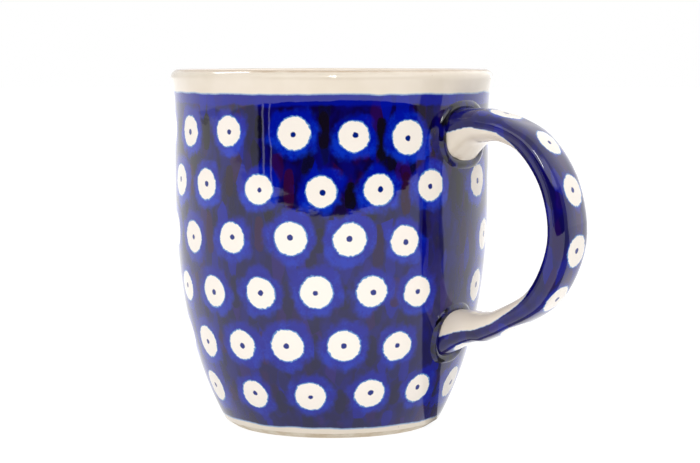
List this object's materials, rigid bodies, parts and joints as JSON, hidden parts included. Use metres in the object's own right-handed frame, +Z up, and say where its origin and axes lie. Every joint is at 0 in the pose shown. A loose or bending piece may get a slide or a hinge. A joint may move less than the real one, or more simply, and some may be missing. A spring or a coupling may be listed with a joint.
{
  "type": "stoneware mug",
  "caption": "Round-bellied stoneware mug with a pale rolled lip, a foot ring, a strap handle and a cobalt-blue hand-stamped dot pattern under clear glaze.",
  "frame": {"origin": "on the cup's axis, in the plane that the foot ring stands on", "axes": "+Z up along the cup's axis, +X from the axis out through the middle of the handle, +Y across the handle's width"},
  "size_m": [0.1207, 0.088, 0.097],
  "materials": {
    "stoneware": "matt",
    "slip": "gloss",
    "cream_glaze": "gloss",
    "cobalt_glaze": "gloss"
  },
  "bodies": {
    "root": {"cup_body": "stoneware", "lining_glaze": "cream_glaze", "painted_glaze": "cobalt_glaze", "foot_band_glaze": "cream_glaze", "underside_glaze": "cream_glaze", "upper_slip_joint": "slip", "lower_slip_joint": "slip", "handle_core": "stoneware", "handle_painted_glaze": "cobalt_glaze", "handle_inner_glaze": "cream_glaze"}
  },
  "joints": []
}
